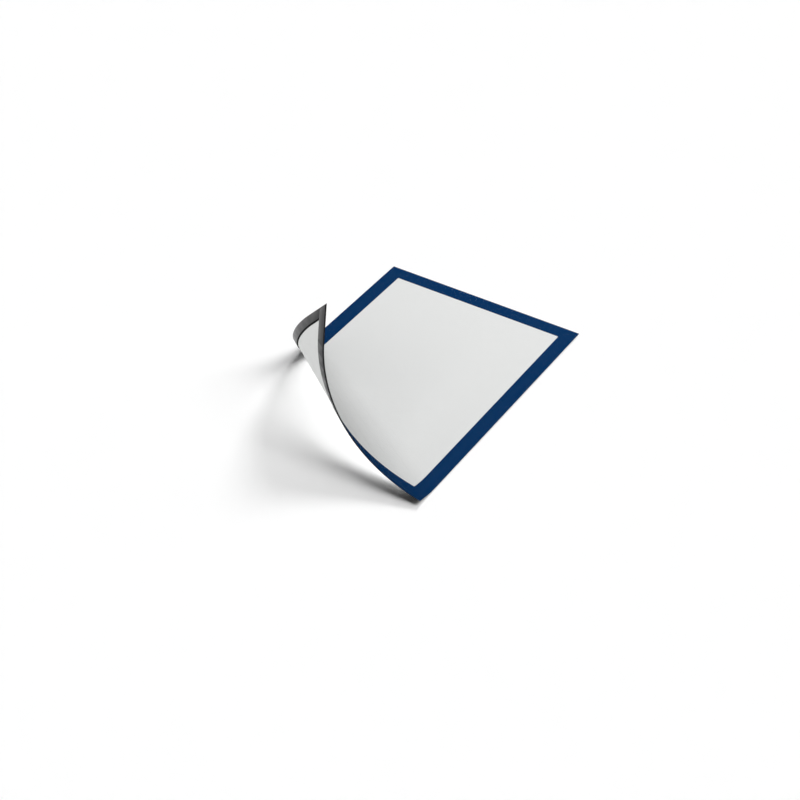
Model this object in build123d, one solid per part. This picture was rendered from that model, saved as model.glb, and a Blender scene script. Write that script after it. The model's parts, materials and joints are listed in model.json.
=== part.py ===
"""Flexible magnetic frame for one page, with its lower left corner peeled up and curled over.

The frame is a laminate. From the back to the front it is four magnet strips, the adhesive tapes that hold
them, a coloured border and a clear film. A page lies loose behind the film, between the strips.

+X runs to the right of the page, +Y up the page and +Z out of its front. The origin is on the surface that
the magnet strips lie on, under the middle of the page.

The laminate bends as a whole where the corner is peeled. Each piece that runs into the peeled corner is
divided at a row of straight fold lines, so that the stretch between two folds is one stiff link.
"""

import os

from build123d import *

# Page on show, in millimetres
SHEET_WIDTH = 210.0
SHEET_HEIGHT = 297.0
SHEET_THICKNESS = 0.2
SHEET_CLEARANCE = 1.0
SHEET_SHIFT = 0.8

# Magnet strips, which stop short of the frame's edge, and the tapes that hold them
STRIP_INSET = 1.0
STRIP_WIDTH = 11.0
STRIP_THICKNESS = 1.0
STRIP_JOINT_GAP = 0.2
TAPE_THICKNESS = 0.1
TAPE_INSET = 0.5

# Front of the frame
BORDER_THICKNESS = 0.1
BORDER_OVERLAP = 3.5
FILM_THICKNESS = 0.3

# Peeled corner: the turn at each fold, and how far from the frame's lower corners the first and the last fold
# cross its edges. The folds midway between those two are shifted by the bow, up the left edge and along the
# bottom edge towards the corner.
FOLD_COUNT = 10
FOLD_ANGLE = 11.9
FIRST_FOLD_ON_LEFT = 167.0
FIRST_FOLD_ON_RIGHT = 22.0
LAST_FOLD_ON_LEFT = 47.0
LAST_FOLD_ON_BOTTOM = 52.5
FOLD_BOW = 13.0
FOLD_GAP = 0.1

# The strips stand round the page, and the border covers them and the page's rim
FRAME_WIDTH = SHEET_WIDTH + 2 * (SHEET_CLEARANCE + STRIP_WIDTH + STRIP_INSET)
FRAME_HEIGHT = SHEET_HEIGHT + 2 * (SHEET_CLEARANCE + STRIP_WIDTH + STRIP_INSET)
WINDOW_WIDTH = SHEET_WIDTH - 2 * BORDER_OVERLAP
WINDOW_HEIGHT = SHEET_HEIGHT - 2 * BORDER_OVERLAP

# Heights of the layers' backs above the surface
TAPE_BACK = STRIP_THICKNESS
BORDER_BACK = TAPE_BACK + TAPE_THICKNESS
FILM_BACK = BORDER_BACK + BORDER_THICKNESS
FRONT_FACE = FILM_BACK + FILM_THICKNESS
SHEET_BACK = BORDER_BACK - SHEET_THICKNESS


def fold_crossings(number):
    """Where a fold meets the line of the bottom edge and the left edge, on the flat frame's front face."""
    first_on_bottom = FRAME_WIDTH * FIRST_FOLD_ON_LEFT / (FIRST_FOLD_ON_LEFT - FIRST_FOLD_ON_RIGHT)
    share = (number - 1) / (FOLD_COUNT - 1)
    shift = 4 * FOLD_BOW * share * (1 - share)
    on_bottom = first_on_bottom + share * (LAST_FOLD_ON_BOTTOM - first_on_bottom) - shift
    on_left = FIRST_FOLD_ON_LEFT + share * (LAST_FOLD_ON_LEFT - FIRST_FOLD_ON_LEFT) + shift
    corner = Vector(-FRAME_WIDTH / 2, -FRAME_HEIGHT / 2, FRONT_FACE)
    return corner + Vector(on_bottom, 0, 0), corner + Vector(0, on_left, 0)


def fold_axis(number):
    """A fold's axis on the flat frame. A positive turn about it lifts the corner."""
    bottom, left = fold_crossings(number)
    return Axis(bottom, left - bottom)


def beyond_fold(outline, number):
    """The part of a flat outline on the corner's side of a fold, clear of half the fold's gap."""
    axis = fold_axis(number)
    to_corner = Vector(0, 0, 1).cross(axis.direction)
    plane = Plane(axis.position + to_corner * FOLD_GAP / 2, x_dir=axis.direction, z_dir=to_corner)
    return split(outline, bisect_by=plane, keep=Keep.TOP)


def before_fold(outline, number):
    """The part of a flat outline on the page's side of a fold, clear of half the fold's gap."""
    axis = fold_axis(number)
    to_corner = Vector(0, 0, 1).cross(axis.direction)
    plane = Plane(axis.position - to_corner * FOLD_GAP / 2, x_dir=axis.direction, z_dir=to_corner)
    return split(outline, bisect_by=plane, keep=Keep.BOTTOM)


def link_outline(outline, link):
    """The part of a flat outline that lies in one link. Link 0 is the flat of the frame."""
    if link > 0:
        outline = beyond_fold(outline, link)
    if link < FOLD_COUNT and outline.faces():
        outline = before_fold(outline, link + 1)
    return outline


def folded(piece, link):
    """A flat piece of a link, turned about the link's own fold and then about each earlier one."""
    for number in range(link, 0, -1):
        piece = piece.rotate(fold_axis(number), FOLD_ANGLE)
    return piece


def rectangle(width, height, x=0.0, y=0.0):
    """A flat rectangle round a centre."""
    return Pos(x, y) * Rectangle(width, height)


# The strips' middles and lengths: top and bottom run from side to side, and the side strips butt between them
STRIP_MIDDLE_X = (FRAME_WIDTH - STRIP_WIDTH) / 2 - STRIP_INSET
STRIP_MIDDLE_Y = (FRAME_HEIGHT - STRIP_WIDTH) / 2 - STRIP_INSET
LEVEL_STRIP_LENGTH = FRAME_WIDTH - 2 * STRIP_INSET
SIDE_STRIP_LENGTH = FRAME_HEIGHT - 2 * (STRIP_INSET + STRIP_WIDTH + STRIP_JOINT_GAP)


def level_strip(y, inset):
    """Outline of the top or bottom strip, or with an inset, of its tape."""
    return rectangle(LEVEL_STRIP_LENGTH - 2 * inset, STRIP_WIDTH - 2 * inset, y=y)


def side_strip(x, inset):
    """Outline of the left or right strip, or with an inset, of its tape."""
    return rectangle(STRIP_WIDTH - 2 * inset, SIDE_STRIP_LENGTH - 2 * inset, x=x)


def all_strips(inset):
    """Outlines of the four strips, or with an inset, of their tapes, as separate faces."""
    top = level_strip(STRIP_MIDDLE_Y, inset)
    bottom = level_strip(-STRIP_MIDDLE_Y, inset)
    left = side_strip(-STRIP_MIDDLE_X, inset)
    right = side_strip(STRIP_MIDDLE_X, inset)
    return Sketch([*top.faces(), *bottom.faces(), *left.faces(), *right.faces()])


def layer(outline, back, thickness):
    """A flat outline made into a plate of one layer's thickness."""
    return extrude(Pos(0, 0, back) * outline, thickness)


frame_outline = rectangle(FRAME_WIDTH, FRAME_HEIGHT)
border_outline = frame_outline - rectangle(WINDOW_WIDTH, WINDOW_HEIGHT)

# The page is loose, and has slid towards the right strip
sheet_outline = rectangle(SHEET_WIDTH, SHEET_HEIGHT, x=SHEET_SHIFT)

# Layers that run through every link: outline, height of the back, thickness
LAYERS = {
    "front_film": (frame_outline, FILM_BACK, FILM_THICKNESS),
    "colour_border": (border_outline, BORDER_BACK, BORDER_THICKNESS),
    "adhesive_tapes": (all_strips(TAPE_INSET), TAPE_BACK, TAPE_THICKNESS),
    "insert_sheet": (sheet_outline, SHEET_BACK, SHEET_THICKNESS),
}

parts = {}

# Flat of the frame, where each magnet strip is a piece of its own. The whole bottom strip is peeled.
for name, (outline, back, thickness) in LAYERS.items():
    parts[name] = layer(link_outline(outline, 0), back, thickness)
parts["magnet_strip_top"] = layer(level_strip(STRIP_MIDDLE_Y, 0), 0, STRIP_THICKNESS)
parts["magnet_strip_left"] = layer(link_outline(side_strip(-STRIP_MIDDLE_X, 0), 0), 0, STRIP_THICKNESS)
parts["magnet_strip_right"] = layer(link_outline(side_strip(STRIP_MIDDLE_X, 0), 0), 0, STRIP_THICKNESS)

# Links of the peeled corner, from the flat of the frame to the tip
for link in range(1, FOLD_COUNT + 1):
    for name, (outline, back, thickness) in LAYERS.items():
        plate = layer(link_outline(outline, link), back, thickness)
        parts[f"{name}_flap_{link:02d}"] = folded(plate, link)
    strips = layer(link_outline(all_strips(0), link), 0, STRIP_THICKNESS)
    parts[f"magnet_strips_flap_{link:02d}"] = folded(strips, link)

os.makedirs("parts", exist_ok=True)
for name, part in parts.items():
    export_step(part, f"parts/{name}.step")
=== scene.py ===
"""Looks of a flexible magnetic frame, lying flat with its lower left corner peeled up and curled over."""

import json
import math

import bmesh
import bpy
from mathutils import Matrix, Vector

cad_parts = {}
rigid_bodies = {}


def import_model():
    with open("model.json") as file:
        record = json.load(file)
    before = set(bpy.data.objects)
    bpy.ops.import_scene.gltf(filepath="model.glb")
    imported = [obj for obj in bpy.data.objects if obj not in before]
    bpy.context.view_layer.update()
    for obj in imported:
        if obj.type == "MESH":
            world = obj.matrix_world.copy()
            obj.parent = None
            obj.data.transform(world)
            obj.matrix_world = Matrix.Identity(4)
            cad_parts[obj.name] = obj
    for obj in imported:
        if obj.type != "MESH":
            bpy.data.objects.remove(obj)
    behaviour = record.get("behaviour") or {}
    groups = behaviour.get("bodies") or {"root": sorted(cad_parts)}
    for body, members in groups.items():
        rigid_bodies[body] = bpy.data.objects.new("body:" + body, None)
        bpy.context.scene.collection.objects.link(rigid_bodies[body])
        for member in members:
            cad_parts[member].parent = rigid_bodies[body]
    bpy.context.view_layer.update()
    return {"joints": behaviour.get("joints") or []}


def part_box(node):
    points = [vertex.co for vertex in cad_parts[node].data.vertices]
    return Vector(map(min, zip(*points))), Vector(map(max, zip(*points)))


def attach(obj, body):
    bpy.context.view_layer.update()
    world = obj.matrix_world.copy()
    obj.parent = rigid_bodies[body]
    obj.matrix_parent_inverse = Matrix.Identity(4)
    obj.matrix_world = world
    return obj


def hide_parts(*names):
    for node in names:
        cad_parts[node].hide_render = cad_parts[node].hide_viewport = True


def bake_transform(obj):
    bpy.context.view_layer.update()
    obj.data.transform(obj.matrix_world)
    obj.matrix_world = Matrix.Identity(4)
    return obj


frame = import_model()


# Front film
# A clear PVC sheet the size of the whole frame, rolled with a fine matt grain and die cut to its outline.
# The other layers are stuck to its back or held behind it, so the frame is built up from it.
MM = 0.001
FILM_EDGE_EASE = 0.05 * MM
film_low, film_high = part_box("front_film")
HALF_WIDTH = film_high.x
HALF_HEIGHT = film_high.y
FRONT_FACE = film_high.z

# The film's back stands this far off the border's front, since two faces in one place would flicker.
FILM_RELIEF = 0.08 * MM

# The corner bends along straight lines that fan out across it. The joints give these lines as they lie in
# the curled corner, so they are turned back flat one after the other. Each is then known by its two
# distances from the peeled corner, along the bottom edge and along the left edge.
FOLDS = frame["joints"]
FOLD_TURN = math.radians(-FOLDS[0]["range_deg"][0])
PEELED_CORNER = Vector((-HALF_WIDTH, -HALF_HEIGHT, FRONT_FACE))


def turn_about(point, along, angle):
    """The matrix of a turn about a line through a point."""
    to_point = Matrix.Translation(point)
    return to_point @ Matrix.Rotation(angle, 4, along) @ to_point.inverted()


fold_distances = []
folded = Matrix.Identity(4)
for fold in FOLDS:
    unfolded = folded.inverted()
    point = unfolded @ Vector(fold["pos_m"])
    along = unfolded.to_3x3() @ Vector(fold["axis"])
    offset = point - PEELED_CORNER
    on_bottom = offset.x - offset.y * along.x / along.y
    on_left = offset.y - offset.x * along.y / along.x
    fold_distances.append(Vector((on_bottom, on_left)))
    folded = folded @ turn_about(point, along, FOLD_TURN)


def even_distances(place):
    """A bend line's distances from the peeled corner, if the lines lay evenly between the outer folds."""
    share = (place - 1) / (len(FOLDS) - 1)
    return fold_distances[0] + (fold_distances[-1] - fold_distances[0]) * share


def bow_share(place):
    """How far a bend line shares in the fan's bow: not at the outer folds, and most midway between them."""
    return (place - 1) * (len(FOLDS) - place)


# The fan is bowed: its middle lines lie off their even places, by an amount that any fold between gives.
MIDDLE_FOLD = len(FOLDS) // 2
fan_bow = (fold_distances[MIDDLE_FOLD - 1] - even_distances(MIDDLE_FOLD)) / bow_share(MIDDLE_FOLD)


def line_distances(place):
    """A bend line's distances from the peeled corner. Whole places are the folds, and others lie between."""
    return even_distances(place) + fan_bow * bow_share(place)


def bend_line(place):
    """A point on a bend line of the flat front face, its direction, and the one across it to the corner."""
    on_bottom, on_left = line_distances(place)
    along = Vector((-on_bottom, on_left, 0)).normalized()
    return PEELED_CORNER + Vector((on_bottom, 0, 0)), along, Vector((0, 0, 1)).cross(along)


# The bend starts half a step before the first fold and ends half a step after the last. It is sliced finely,
# and each slice turns a little further, which rounds the folds into one even curl.
SLICES = 12
SMALL_TURN = FOLD_TURN / SLICES
HALF_STEP = 0.5
BEND_START = 1 - HALF_STEP
BEND_END = len(FOLDS) + HALF_STEP
curl = [Matrix.Identity(4)]
for step in range(len(FOLDS) * SLICES):
    point, along, _ = bend_line(BEND_START + (step + 0.5) / SLICES)
    curl.append(curl[-1] @ turn_about(point, along, SMALL_TURN))

# A vertex this close to a cut counts as lying on it.
CUT_TOLERANCE = 0.0001 * MM


def plate(length, width, back, front, edge_ease=0.0, rim_width=None):
    """A flat plate round the middle of the frame, in cells small enough to bend.

    With a rim width it has a window inside the rim. Each vertex keeps its flat place, so that a pattern
    follows the sheet when it is bent.
    """
    cell = 12 * MM
    corner_angle = math.radians(60)
    shape = bmesh.new()
    bmesh.ops.create_grid(
        shape,
        x_segments=math.ceil(length / cell),
        y_segments=math.ceil(width / cell),
        size=0.5,
        matrix=Matrix.Translation((0, 0, back)) @ Matrix.Diagonal((length, width, 1, 1)),
    )
    if rim_width:
        window = Vector((length / 2 - rim_width, width / 2 - rim_width, 0))
        for outward in (Vector((1, 0, 0)), Vector((0, 1, 0))):
            for side in (-1, 1):
                bmesh.ops.bisect_plane(
                    shape,
                    geom=shape.verts[:] + shape.edges[:] + shape.faces[:],
                    dist=CUT_TOLERANCE,
                    plane_co=window * side,
                    plane_no=outward,
                )
        inside = []
        for face in shape.faces:
            middle = face.calc_center_median()
            if abs(middle.x) < window.x and abs(middle.y) < window.y:
                inside.append(face)
        bmesh.ops.delete(shape, geom=inside, context="FACES")
    raised = bmesh.ops.extrude_face_region(shape, geom=shape.faces[:])
    top = [item for item in raised["geom"] if isinstance(item, bmesh.types.BMVert)]
    bmesh.ops.translate(shape, vec=(0, 0, front - back), verts=top)
    bmesh.ops.recalc_face_normals(shape, faces=shape.faces[:])
    if edge_ease:
        rim = [edge for edge in shape.edges if edge.calc_face_angle(0) > corner_angle]
        bmesh.ops.bevel(
            shape, geom=rim, offset=edge_ease, affect="EDGES", segments=2, profile=0.5, material=-1
        )
    flat_place = shape.verts.layers.float_vector.new("flat_place")
    for vert in shape.verts:
        vert[flat_place] = vert.co
    return shape


def slice_at(shape, place, drop_page_side=False, drop_corner_side=False):
    """Cuts a flat shape along a bend line, and drops one side of it if asked."""
    point, _, to_corner = bend_line(place)
    bmesh.ops.bisect_plane(
        shape,
        geom=shape.verts[:] + shape.edges[:] + shape.faces[:],
        dist=CUT_TOLERANCE,
        plane_co=point,
        plane_no=to_corner,
        clear_inner=drop_page_side,
        clear_outer=drop_corner_side,
    )


def close_cuts(shape):
    """Fills the open ends that cutting leaves."""
    bmesh.ops.holes_fill(shape, edges=[edge for edge in shape.edges if edge.is_boundary], sides=0)
    bmesh.ops.recalc_face_normals(shape, faces=shape.faces[:])


def flat_part(shape):
    """The part of a flat shape that stays on the table."""
    part = shape.copy()
    slice_at(part, BEND_START, drop_corner_side=True)
    close_cuts(part)
    return part


def bent_part(shape, number):
    """The part of a flat shape round one fold, sliced along the bend lines and curled.

    A narrow slice at each end lies in one plane with its neighbour's, so the shading runs on across the cut.
    """
    seam_slice = 0.01
    start = number - HALF_STEP
    part = shape.copy()
    slice_at(part, start, drop_page_side=True)
    slice_at(part, start + 1, drop_corner_side=True)
    close_cuts(part)
    for place in (start + seam_slice, start + 1 - seam_slice):
        slice_at(part, place)
    for step in range(1, SLICES):
        slice_at(part, start + step / SLICES)
    for step in reversed(range(SLICES)):
        point, along, to_corner = bend_line(start + (step + 0.5) / SLICES)
        beyond = [vert for vert in part.verts if (vert.co - point).dot(to_corner) > 0]
        bmesh.ops.rotate(part, cent=point, matrix=Matrix.Rotation(SMALL_TURN, 3, along), verts=beyond)
    bmesh.ops.transform(part, matrix=curl[(number - 1) * SLICES], verts=part.verts[:])
    return part


def tip_part(shape):
    """The part of a flat shape beyond the last bend, out to the corner."""
    part = shape.copy()
    slice_at(part, BEND_END, drop_page_side=True)
    close_cuts(part)
    bmesh.ops.transform(part, matrix=curl[-1], verts=part.verts[:])
    return part


def add_piece(name, shape, materials, slot, *nodes):
    """Makes a piece from a finished shape, with its materials. It stands for CAD nodes. Its slot is not
    used.
    """
    sharp_angle = math.radians(40)
    for face in shape.faces:
        face.smooth = True
    mesh = bpy.data.meshes.new(name)
    shape.to_mesh(mesh)
    shape.free()
    mesh.set_sharp_from_angle(angle=sharp_angle)
    for material in materials:
        mesh.materials.append(material)
    piece = bpy.data.objects.new(name, mesh)
    bpy.context.scene.collection.objects.link(piece)
    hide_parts(*nodes)
    return piece


def add_curled_pieces(name, shape, materials, slot, node):
    """Makes the pieces of a layer round each fold, curled into place, and its tip, which follows the last
    link.
    """
    for number, fold in enumerate(FOLDS, 1):
        flap_node = f"{node}_flap_{number:02d}"
        bend = add_piece(f"{name}_bend_{number:02d}", bent_part(shape, number), materials, slot, flap_node)
        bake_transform(bend)
    last = FOLDS[-1]["child"]
    tip = add_piece(f"{name}_tip", tip_part(shape), materials, slot, f"{node}_{last}")
    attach(tip, last)


def linear(hex_colour):
    """A colour written as sRGB hex, as Blender's linear RGBA."""
    channels = [int(hex_colour[i:i + 2], 16) / 255 for i in (1, 3, 5)]
    return [c / 12.92 if c <= 0.04045 else ((c + 0.055) / 1.055) ** 2.4 for c in channels] + [1.0]


def add_node(owner, kind, settings, inputs):
    """Adds a node to a material or the world, with its settings, and with values or links in its inputs."""
    node = owner.node_tree.nodes.new(kind)
    for name, value in settings.items():
        setattr(node, name, value)
    for name, value in inputs.items():
        if isinstance(value, bpy.types.NodeSocket):
            owner.node_tree.links.new(value, node.inputs[name])
        else:
            node.inputs[name].default_value = value
    return node


# Clear calendered PVC: it lets the page and the border show through with a slight veil, and its matt grain
# breaks up reflections. The real grain of about 0.1 mm is drawn at 2 mm, since a pixel covers about 1 mm.
film_grain = 2.0 * MM
film_haze = 30 * MM
film_material = bpy.data.materials.new("clear_calendered_pvc")
film_material.use_nodes = True
film_shader = film_material.node_tree.nodes["Principled BSDF"]
film_shader.inputs["Alpha"].default_value = 0.04
film_shader.inputs["IOR"].default_value = 1.53
film_shader.inputs["Specular IOR Level"].default_value = 0.2
film_place = add_node(film_material, "ShaderNodeAttribute", {"attribute_name": "flat_place"}, {})
haze = add_node(
    film_material,
    "ShaderNodeTexNoise",
    {},
    {"Vector": film_place.outputs["Vector"], "Scale": 1 / film_haze, "Detail": 3.0},
)
haze_colour = add_node(
    film_material,
    "ShaderNodeMix",
    {"data_type": "RGBA"},
    {"Factor": haze.outputs["Fac"], "A": linear("#26292c"), "B": linear("#303438")},
)
grain = add_node(
    film_material,
    "ShaderNodeTexNoise",
    {},
    {"Vector": film_place.outputs["Vector"], "Scale": 1 / film_grain, "Detail": 2.0},
)
film_roughness = add_node(
    film_material,
    "ShaderNodeMapRange",
    {},
    {"Value": grain.outputs["Fac"], "To Min": 0.32, "To Max": 0.5},
)
film_bump = add_node(
    film_material,
    "ShaderNodeBump",
    {},
    {"Height": grain.outputs["Fac"], "Distance": 0.02 * MM, "Strength": 0.5},
)
film_links = film_material.node_tree.links
film_links.new(haze_colour.outputs["Result"], film_shader.inputs["Base Color"])
film_links.new(film_roughness.outputs["Result"], film_shader.inputs["Roughness"])
film_links.new(film_bump.outputs["Normal"], film_shader.inputs["Normal"])

film_plate = plate(2 * HALF_WIDTH, 2 * HALF_HEIGHT, film_low.z + FILM_RELIEF, FRONT_FACE, FILM_EDGE_EASE)
film_flat = add_piece("film_flat", flat_part(film_plate), [film_material], "clear_film", "front_film")
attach(film_flat, "flat_frame")
add_curled_pieces("film", film_plate, [film_material], "clear_film", "front_film")
film_plate.free()


# Coloured border
# A blue PVC film laminated to the back of the clear one, with the window punched out of it. Its own back is
# printed black, which shows along the frame's edge and in the gap between the page and the magnet strips.
BORDER_WIDTH = 16.5 * MM
border_low, border_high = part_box("colour_border")

# Blue PVC film: an even deep blue that wanders very slightly, as in any rolled film. It is bonded to the
# clear film without air between them, so it has no reflection of its own.
border_blotch = 9 * MM
border_material = bpy.data.materials.new("blue_satin_pvc")
border_material.use_nodes = True
border_shader = border_material.node_tree.nodes["Principled BSDF"]
border_shader.inputs["Specular IOR Level"].default_value = 0.0
border_place = add_node(border_material, "ShaderNodeAttribute", {"attribute_name": "flat_place"}, {})
blotches = add_node(
    border_material,
    "ShaderNodeTexNoise",
    {},
    {"Vector": border_place.outputs["Vector"], "Scale": 1 / border_blotch, "Detail": 4.0},
)
border_colour = add_node(
    border_material,
    "ShaderNodeMix",
    {"data_type": "RGBA"},
    {"Factor": blotches.outputs["Fac"], "A": linear("#03315e"), "B": linear("#073666")},
)
border_roughness = add_node(
    border_material,
    "ShaderNodeMapRange",
    {},
    {"Value": blotches.outputs["Fac"], "To Min": 0.45, "To Max": 0.6},
)
border_links = border_material.node_tree.links
border_links.new(border_colour.outputs["Result"], border_shader.inputs["Base Color"])
border_links.new(border_roughness.outputs["Result"], border_shader.inputs["Roughness"])

# Black printed coat: dull and slightly uneven, with pinholes of grey where the ink is thin.
black_speckle = 1.5 * MM
black_material = bpy.data.materials.new("black_printed_coat")
black_material.use_nodes = True
black_shader = black_material.node_tree.nodes["Principled BSDF"]
black_shader.inputs["Roughness"].default_value = 0.8
black_shader.inputs["Specular IOR Level"].default_value = 0.2
black_place = add_node(black_material, "ShaderNodeAttribute", {"attribute_name": "flat_place"}, {})
speckle = add_node(
    black_material,
    "ShaderNodeTexNoise",
    {},
    {"Vector": black_place.outputs["Vector"], "Scale": 1 / black_speckle, "Detail": 3.0},
)
black_colour = add_node(
    black_material,
    "ShaderNodeMix",
    {"data_type": "RGBA"},
    {"Factor": speckle.outputs["Fac"], "A": linear("#0c0d0e"), "B": linear("#17181a")},
)
black_material.node_tree.links.new(black_colour.outputs["Result"], black_shader.inputs["Base Color"])

# A face is on a layer's front or back if the upright part of its normal is larger than this.
UPRIGHT_NORMAL = 0.5
border_plate = plate(2 * HALF_WIDTH, 2 * HALF_HEIGHT, border_low.z, border_high.z, rim_width=BORDER_WIDTH)
for face in border_plate.faces:
    face.material_index = 0 if face.normal.z > UPRIGHT_NORMAL else 1
border_materials = [border_material, black_material]
border_flat = add_piece(
    "border_flat", flat_part(border_plate), border_materials, "blue_border", "colour_border"
)
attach(border_flat, "flat_frame")
add_curled_pieces("border", border_plate, border_materials, "blue_border", "colour_border")
border_plate.free()


# Adhesive tapes
# Four strips of black double-sided tissue tape, a little narrower than the magnet strips. They hold the
# strips to the back of the border, and only their edges can be seen.
TAPE_INSET = 0.5 * MM
tape_low, tape_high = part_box("adhesive_tapes")
strip_low, strip_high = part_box("magnet_strip_top")
STRIP_WIDTH = strip_high.y - strip_low.y
LEVEL_STRIP_LENGTH = strip_high.x - strip_low.x
SIDE_STRIP_LENGTH = 2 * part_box("magnet_strip_left")[1].y
STRIP_MIDDLE_X = strip_high.x - STRIP_WIDTH / 2
STRIP_MIDDLE_Y = strip_high.y - STRIP_WIDTH / 2
QUARTER_TURN = Matrix.Rotation(math.pi / 2, 4, "Z")
STRIP_LENGTHS_AND_PLACES = {
    "top": (LEVEL_STRIP_LENGTH, Matrix.Translation((0, STRIP_MIDDLE_Y, 0))),
    "bottom": (LEVEL_STRIP_LENGTH, Matrix.Translation((0, -STRIP_MIDDLE_Y, 0))),
    "left": (SIDE_STRIP_LENGTH, Matrix.Translation((-STRIP_MIDDLE_X, 0, 0)) @ QUARTER_TURN),
    "right": (SIDE_STRIP_LENGTH, Matrix.Translation((STRIP_MIDDLE_X, 0, 0)) @ QUARTER_TURN),
}


def strip_shape(side, back, front, inset=0.0, edge_ease=0.0):
    """A magnet strip along one side of the frame, or with an inset, its tape. It is first made along X."""
    length, place = STRIP_LENGTHS_AND_PLACES[side]
    shape = plate(length - 2 * inset, STRIP_WIDTH - 2 * inset, back, front, edge_ease)
    bmesh.ops.transform(shape, matrix=place, verts=shape.verts[:])
    return shape


def joined(shapes):
    """Several shapes as one shape of separate parts."""
    whole = bmesh.new()
    for shape in shapes:
        part = bpy.data.meshes.new("part")
        shape.to_mesh(part)
        shape.free()
        whole.from_mesh(part)
        bpy.data.meshes.remove(part)
    return whole


# Black tissue tape: matt, with the soft mottle of the tissue in its glue.
tape_mottle = 2 * MM
tape_material = bpy.data.materials.new("black_tissue_tape")
tape_material.use_nodes = True
tape_shader = tape_material.node_tree.nodes["Principled BSDF"]
tape_shader.inputs["Roughness"].default_value = 0.7
tape_place = add_node(tape_material, "ShaderNodeAttribute", {"attribute_name": "flat_place"}, {})
mottle = add_node(
    tape_material,
    "ShaderNodeTexNoise",
    {},
    {"Vector": tape_place.outputs["Vector"], "Scale": 1 / tape_mottle, "Detail": 3.0},
)
tape_colour = add_node(
    tape_material,
    "ShaderNodeMix",
    {"data_type": "RGBA"},
    {"Factor": mottle.outputs["Fac"], "A": linear("#151516"), "B": linear("#262628")},
)
tape_material.node_tree.links.new(tape_colour.outputs["Result"], tape_shader.inputs["Base Color"])

tape_shapes = joined(
    strip_shape(side, tape_low.z, tape_high.z, inset=TAPE_INSET) for side in STRIP_LENGTHS_AND_PLACES
)
tapes_flat = add_piece(
    "tapes_flat", flat_part(tape_shapes), [tape_material], "adhesive_tape", "adhesive_tapes"
)
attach(tapes_flat, "flat_frame")
add_curled_pieces("tapes", tape_shapes, [tape_material], "adhesive_tape", "adhesive_tapes")
tape_shapes.free()


# Magnet strips
# Four flat strips of ferrite-filled rubber, extruded and cut to length, just inside the frame's edge. The
# top and bottom ones run from side to side, and the side ones butt between them. The tapes hold them to the
# border.
STRIP_EDGE_EASE = 0.12 * MM

# Ferrite rubber: dark grey with a dull sheen, and fine streaks along the strip from the extruder. The real
# streaks of about 0.3 mm are drawn at 1.2 mm so that they show.
streak_width = 1.2 * MM
streak_length = 45 * MM
streak_scale = (1 / streak_length, 1 / streak_width, 1 / streak_width)
rubber_material = bpy.data.materials.new("extruded_ferrite_rubber")
rubber_material.use_nodes = True
rubber_shader = rubber_material.node_tree.nodes["Principled BSDF"]
rubber_shader.inputs["IOR"].default_value = 1.52
rubber_shader.inputs["Specular IOR Level"].default_value = 0.22
rubber_place = add_node(rubber_material, "ShaderNodeAttribute", {"attribute_name": "flat_place"}, {})
stretched = add_node(
    rubber_material,
    "ShaderNodeMapping",
    {},
    {"Vector": rubber_place.outputs["Vector"], "Scale": streak_scale},
)
streaks = add_node(
    rubber_material,
    "ShaderNodeTexNoise",
    {},
    {"Vector": stretched.outputs["Vector"], "Scale": 1.0, "Detail": 3.0},
)
rubber_colour = add_node(
    rubber_material,
    "ShaderNodeMix",
    {"data_type": "RGBA"},
    {"Factor": streaks.outputs["Fac"], "A": linear("#2e2e2f"), "B": linear("#3b3b3d")},
)
rubber_roughness = add_node(
    rubber_material,
    "ShaderNodeMapRange",
    {},
    {"Value": streaks.outputs["Fac"], "To Min": 0.24, "To Max": 0.4},
)
rubber_bump = add_node(
    rubber_material,
    "ShaderNodeBump",
    {},
    {"Height": streaks.outputs["Fac"], "Distance": 0.03 * MM, "Strength": 0.6},
)
rubber_links = rubber_material.node_tree.links
rubber_links.new(rubber_colour.outputs["Result"], rubber_shader.inputs["Base Color"])
rubber_links.new(rubber_roughness.outputs["Result"], rubber_shader.inputs["Roughness"])
rubber_links.new(rubber_bump.outputs["Normal"], rubber_shader.inputs["Normal"])

# Slit edge of the rubber: rough, and painted nearly black, as painted shade on the strips' cut edges.
slit_grit = 1.0 * MM
slit_shade_material = bpy.data.materials.new("slit_rubber_painted_shade")
slit_shade_material.use_nodes = True
slit_shader = slit_shade_material.node_tree.nodes["Principled BSDF"]
slit_shader.inputs["Roughness"].default_value = 0.75
slit_shader.inputs["Specular IOR Level"].default_value = 0.2
slit_place = add_node(slit_shade_material, "ShaderNodeAttribute", {"attribute_name": "flat_place"}, {})
grit = add_node(
    slit_shade_material,
    "ShaderNodeTexNoise",
    {},
    {"Vector": slit_place.outputs["Vector"], "Scale": 1 / slit_grit, "Detail": 2.0},
)
slit_shade_colour = add_node(
    slit_shade_material,
    "ShaderNodeMix",
    {"data_type": "RGBA"},
    {"Factor": grit.outputs["Fac"], "A": linear("#0e0e0f"), "B": linear("#1c1c1d")},
)
slit_shade_material.node_tree.links.new(slit_shade_colour.outputs["Result"], slit_shader.inputs["Base Color"])
strip_materials = [rubber_material, slit_shade_material]


def magnet_strip(side):
    """A magnet strip along one side of the frame, with painted shade on its slit edges."""
    # The skin is on the faces that lie within about 25 degrees of level.
    skin_normal = 0.9
    shape = strip_shape(side, strip_low.z, strip_high.z, edge_ease=STRIP_EDGE_EASE)
    # Faces off the skin are the slit edges, which take the painted shade.
    for face in shape.faces:
        face.material_index = 0 if abs(face.normal.z) > skin_normal else 1
    return shape


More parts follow.
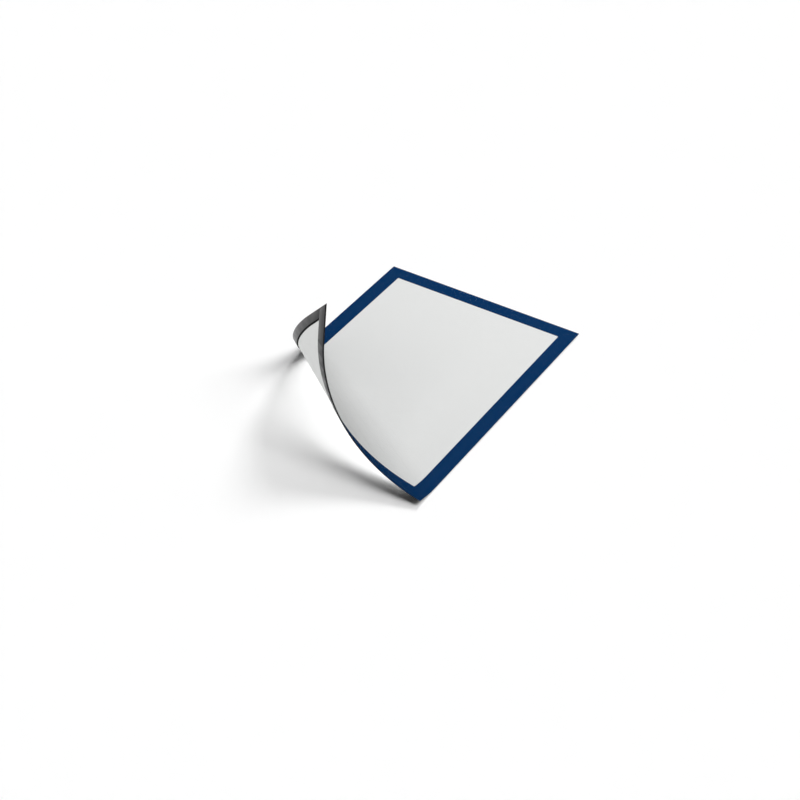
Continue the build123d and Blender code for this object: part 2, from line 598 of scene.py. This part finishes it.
for side in ("top", "left", "right"):
    strip = magnet_strip(side)
    strip_flat = add_piece(
        f"{side}_strip_flat", flat_part(strip), strip_materials, "magnet_rubber", f"magnet_strip_{side}"
    )
    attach(strip_flat, "flat_frame")
    strip.free()
peeled_strips = joined(magnet_strip(side) for side in ("bottom", "left", "right"))
add_curled_pieces("strips", peeled_strips, strip_materials, "magnet_rubber", "magnet_strips")
peeled_strips.free()


# Page
# A blank sheet of white paper that lies loose behind the film, between the magnet strips. It clings to the
# film and follows the curl.
page_low, page_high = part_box("insert_sheet")
PAGE_MIDDLE_X = (page_low.x + page_high.x) / 2

# Uncoated paper: matt white with the faint clouds that light shows in its fibres. The fibres' real grain of
# about 0.2 mm is drawn at 1 mm.
paper_cloud = 7 * MM
paper_fibre = 1.0 * MM
paper_material = bpy.data.materials.new("uncoated_white_paper")
paper_material.use_nodes = True
paper_shader = paper_material.node_tree.nodes["Principled BSDF"]
paper_shader.inputs["Roughness"].default_value = 0.95
paper_shader.inputs["Specular IOR Level"].default_value = 0.2
paper_place = add_node(paper_material, "ShaderNodeAttribute", {"attribute_name": "flat_place"}, {})
clouds = add_node(
    paper_material,
    "ShaderNodeTexNoise",
    {},
    {"Vector": paper_place.outputs["Vector"], "Scale": 1 / paper_cloud, "Detail": 4.0},
)
paper_colour = add_node(
    paper_material,
    "ShaderNodeMix",
    {"data_type": "RGBA"},
    {"Factor": clouds.outputs["Fac"], "A": linear("#edeeed"), "B": linear("#f3f4f3")},
)
fibres = add_node(
    paper_material,
    "ShaderNodeTexNoise",
    {},
    {"Vector": paper_place.outputs["Vector"], "Scale": 1 / paper_fibre, "Detail": 2.0},
)
paper_bump = add_node(
    paper_material,
    "ShaderNodeBump",
    {},
    {"Height": fibres.outputs["Fac"], "Distance": 0.01 * MM, "Strength": 0.5},
)
paper_links = paper_material.node_tree.links
paper_links.new(paper_colour.outputs["Result"], paper_shader.inputs["Base Color"])
paper_links.new(paper_bump.outputs["Normal"], paper_shader.inputs["Normal"])

# Back of the paper: the same clouds, a shade greyer than the front, as painted shade on the sheet's back.
paper_back_shade_material = paper_material.copy()
paper_back_shade_material.name = "uncoated_paper_back"
paper_back_shade_colour = paper_back_shade_material.node_tree.nodes[paper_colour.name]
paper_back_shade_colour.inputs["A"].default_value = linear("#e1e2e1")
paper_back_shade_colour.inputs["B"].default_value = linear("#e7e8e7")

page_plate = plate(page_high.x - page_low.x, 2 * page_high.y, page_low.z, page_high.z)
bmesh.ops.translate(page_plate, vec=(PAGE_MIDDLE_X, 0, 0), verts=page_plate.verts[:])
# The back faces of the page take the painted shade.
for face in page_plate.faces:
    face.material_index = 1 if face.normal.z < -UPRIGHT_NORMAL else 0
paper_materials = [paper_material, paper_back_shade_material]
page_flat = add_piece("page_flat", flat_part(page_plate), paper_materials, "white_page", "insert_sheet")
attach(page_flat, "flat_frame")
add_curled_pieces("page", page_plate, paper_materials, "white_page", "insert_sheet")
page_plate.free()


# Floor
# A plain white studio floor, as a disc that is wide enough to fill the camera's view. It keeps the shadow
# under the curled corner.
FLOOR_RADIUS = 6.0
FLOOR_SEGMENTS = 96
floor_shape = bmesh.new()
bmesh.ops.create_circle(floor_shape, cap_ends=True, segments=FLOOR_SEGMENTS, radius=FLOOR_RADIUS)
floor_mesh = bpy.data.meshes.new("floor")
floor_shape.to_mesh(floor_mesh)
floor_shape.free()
floor = bpy.data.objects.new("floor", floor_mesh)
bpy.context.scene.collection.objects.link(floor)

# White studio floor: matt paint that gives the light back evenly, with no sheen.
floor_material = bpy.data.materials.new("white_studio_floor")
floor_material.use_nodes = True
floor_shader = floor_material.node_tree.nodes["Principled BSDF"]
floor_shader.inputs["Base Color"].default_value = linear("#fcfcfc")
floor_shader.inputs["Roughness"].default_value = 1.0
floor_shader.inputs["Specular IOR Level"].default_value = 0.0
floor_mesh.materials.append(floor_material)


# Light
# White studio light: a faint tent all round, and for the frame a lamp in front and a disc over its far end.
# Three more lamps behind the frame light the floor alone, and throw the shadow across it.
TENT_LIGHT = 0.06
FILL_LIGHT = 0.56
FILL_SIZE = 0.7
FILL_PLACE = Vector((0.05, 0.30, 0.9))


def group_of(name, objects):
    """A group of objects, for a lamp to light or be blocked by."""
    group = bpy.data.collections.new(name)
    for item in objects:
        group.objects.link(item)
    return group


# The shadow is dark under the rim and pale under the page. So the rim alone blocks two of the floor lamps,
# as if the page and the film let all their light through, and the whole frame blocks the third. The front
# lamp is blocked by the rim alone too.
pieces = bpy.data.objects
rim_pieces = [piece for piece in pieces if piece.name.startswith(("border_", "tapes_", "strips_"))]
rim_pieces += [piece for piece in pieces if piece.name.endswith("_strip_flat")]
window_pieces = [piece for piece in pieces if piece.name.startswith(("film_", "page_"))]
whole_frame = group_of("whole_frame", rim_pieces + window_pieces)
rim_alone = group_of("rim_alone", rim_pieces)
floor_alone = group_of("floor_alone", [floor])


def add_far_lamp(name, lit, blockers, light, azimuth, elevation, spread):
    """A far lamp that lights some objects alone. Its light is the share that a level surface gets."""
    data = bpy.data.lights.new(name, "SUN")
    data.energy = light * math.pi / math.sin(math.radians(elevation))
    data.angle = math.radians(spread)
    lamp = bpy.data.objects.new(name, data)
    lamp.rotation_euler = (0, math.radians(90 - elevation), math.radians(azimuth))
    lamp.light_linking.receiver_collection = lit
    lamp.light_linking.blocker_collection = blockers
    bpy.context.scene.collection.objects.link(lamp)


add_far_lamp("front_lamp", whole_frame, rim_alone, light=0.48, azimuth=270, elevation=50, spread=60)
add_far_lamp("narrow_floor_lamp", floor_alone, rim_alone, light=0.38, azimuth=30, elevation=54, spread=35)
add_far_lamp("wide_floor_lamp", floor_alone, rim_alone, light=0.33, azimuth=60, elevation=45, spread=70)
add_far_lamp("back_floor_lamp", floor_alone, whole_frame, light=0.26, azimuth=95, elevation=35, spread=14)

# The disc's power gives a level surface straight under it its share of light, as if the disc were small.
fill_data = bpy.data.lights.new("fill_lamp", "AREA")
fill_data.shape = "DISK"
fill_data.size = FILL_SIZE
fill_data.energy = FILL_LIGHT * math.pi ** 2 * FILL_PLACE.z ** 2
fill_lamp = bpy.data.objects.new("fill_lamp", fill_data)
fill_lamp.location = FILL_PLACE
fill_lamp.light_linking.receiver_collection = whole_frame
bpy.context.scene.collection.objects.link(fill_lamp)

# The tent is white where it is seen, in a reflection too, and otherwise lights the scene only faintly.
world = bpy.data.worlds.new("white_tent")
world.use_nodes = True
bpy.context.scene.world = world
tent = world.node_tree.nodes["Background"]
ray = add_node(world, "ShaderNodeLightPath", {}, {})
seen = add_node(
    world,
    "ShaderNodeMath",
    {"operation": "MAXIMUM"},
    {0: ray.outputs["Is Camera Ray"], 1: ray.outputs["Is Glossy Ray"]},
)
seen_through = add_node(
    world,
    "ShaderNodeMath",
    {"operation": "MAXIMUM"},
    {0: seen.outputs["Value"], 1: ray.outputs["Is Transmission Ray"]},
)
tent_strength = add_node(
    world,
    "ShaderNodeMapRange",
    {},
    {"Value": seen_through.outputs["Value"], "To Min": TENT_LIGHT, "To Max": 1.0},
)
tent.inputs["Color"].default_value = linear("#ffffff")
world.node_tree.links.new(tent_strength.outputs["Result"], tent.inputs["Strength"])


# Camera
# It stands to the right of the page's lower edge and looks down at the middle of the frame. Its focal length
# and the width of its sensor are in millimetres.
CAMERA_PLACE = Vector((0.7910, -1.2537, 1.1654))
CAMERA_AIM = Vector((0.0159, -0.0359, 0.0))
FOCAL_LENGTH = 81.45
SENSOR_WIDTH = 36.0
camera_data = bpy.data.cameras.new("camera")
camera_data.lens = FOCAL_LENGTH
camera_data.sensor_width = SENSOR_WIDTH
camera = bpy.data.objects.new("camera", camera_data)
camera.location = CAMERA_PLACE
camera.rotation_euler = (CAMERA_AIM - CAMERA_PLACE).to_track_quat("-Z", "Y").to_euler()
bpy.context.scene.collection.objects.link(camera)
bpy.context.scene.camera = camera

bpy.context.scene.view_settings.view_transform = "Standard"
